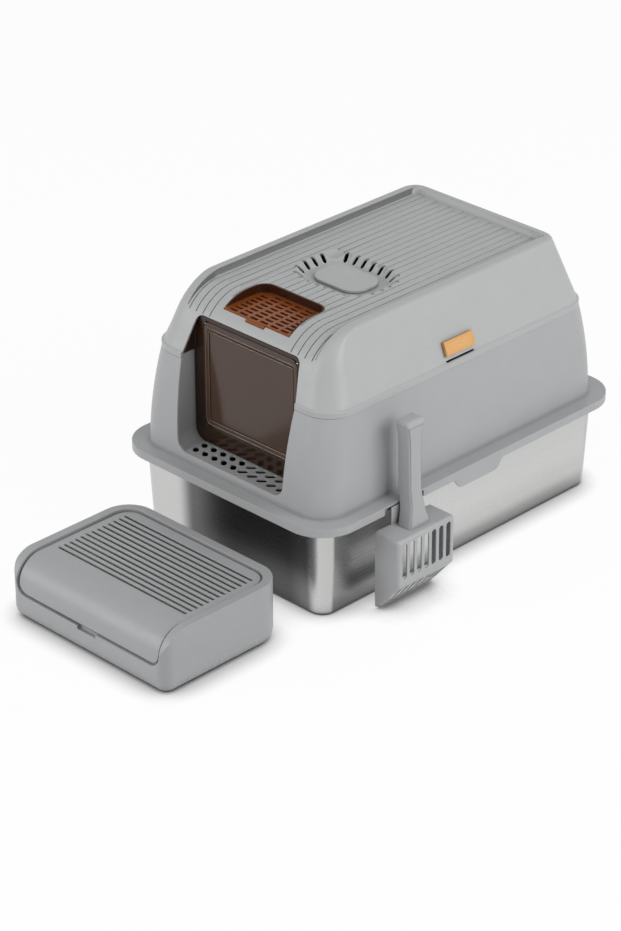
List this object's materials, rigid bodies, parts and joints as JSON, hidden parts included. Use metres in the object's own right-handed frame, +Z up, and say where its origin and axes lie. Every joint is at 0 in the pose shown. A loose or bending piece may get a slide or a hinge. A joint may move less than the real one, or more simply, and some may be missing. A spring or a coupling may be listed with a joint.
{
  "type": "enclosed litter box",
  "caption": "Steel litter pan under a high guard with a doorway, a lift-off hood with a swinging flap, a hung scoop and a free-standing slotted step.",
  "frame": {"origin": "centre of the steel pan's flat underside, where the box stands on the floor", "axes": "+Z up, -Y out of the doorway towards the step, +X to the side with the scoop; the box's long axis is Y"},
  "size_m": [0.4408, 0.8472, 0.3864],
  "materials": {
    "steel": "bright satin",
    "grey_plastic": "fine satin",
    "light_plastic": "fine satin",
    "amber_plastic": "clear tinted, polished",
    "smoked_plastic": "clear smoked, polished",
    "orange_plastic": "satin",
    "carbon_foam": "open foam",
    "steel_wire": "drawn wire"
  },
  "bodies": {
    "pan": {"steel_pan": "steel"},
    "guard": {"lower_guard": "grey_plastic"},
    "hood": {"hood": "light_plastic", "door_frame": "amber_plastic", "flap_rod": "steel_wire", "latch_pin_left": "steel_wire", "latch_pin_right": "steel_wire"},
    "flap": {"door_flap": "smoked_plastic"},
    "skylight": {"skylight_tray": "amber_plastic"},
    "vent": {"vent_cap": "light_plastic", "filter_cup": "grey_plastic", "carbon_filter": "carbon_foam"},
    "latch_l": {"latch_left": "orange_plastic"},
    "latch_r": {"latch_right": "orange_plastic"},
    "scoop": {"scoop_basket": "grey_plastic", "scoop_handle": "grey_plastic", "scoop_grip": "grey_plastic"},
    "step": {"step_tray": "grey_plastic"},
    "cover": {"step_cover": "grey_plastic"}
  },
  "joints": [
    {"name": "guard_lift", "type": "slide", "parent": "pan", "child": "guard", "axis": [0, 0, 1], "range_m": [0, 0.15]},
    {"name": "hood_lift", "type": "slide", "parent": "guard", "child": "hood", "axis": [0, 0, 1], "range_m": [0, 0.16]},
    {"name": "flap_swing", "type": "hinge", "parent": "hood", "child": "flap", "pos_m": [0, -0.2311, 0.336], "axis": [1, 0, 0], "range_deg": [-75, 75]},
    {"name": "latch_left_turn", "type": "hinge", "parent": "hood", "child": "latch_l", "pos_m": [-0.15128, -0.007, 0.32256], "axis": [0, 1, 0], "range_deg": [0, 20]},
    {"name": "latch_right_turn", "type": "hinge", "parent": "hood", "child": "latch_r", "pos_m": [0.15128, -0.007, 0.32256], "axis": [0, -1, 0], "range_deg": [0, 20]},
    {"name": "skylight_lift", "type": "slide", "parent": "hood", "child": "skylight", "axis": [0, 0, 1], "range_m": [0, 0.05]},
    {"name": "vent_lift", "type": "slide", "parent": "hood", "child": "vent", "axis": [0, 0, 1], "range_m": [0, 0.05]},
    {"name": "scoop_unhook", "type": "slide", "parent": "guard", "child": "scoop", "axis": [0.7071, 0, 0.7071], "range_m": [0, 0.12]},
    {"name": "step_slide", "type": "slide", "parent": "pan", "child": "step", "axis": [0, -1, 0], "range_m": [0, 0.1]},
    {"name": "cover_lift", "type": "slide", "parent": "step", "child": "cover", "axis": [0, 0, 1], "range_m": [0, 0.06]}
  ]
}
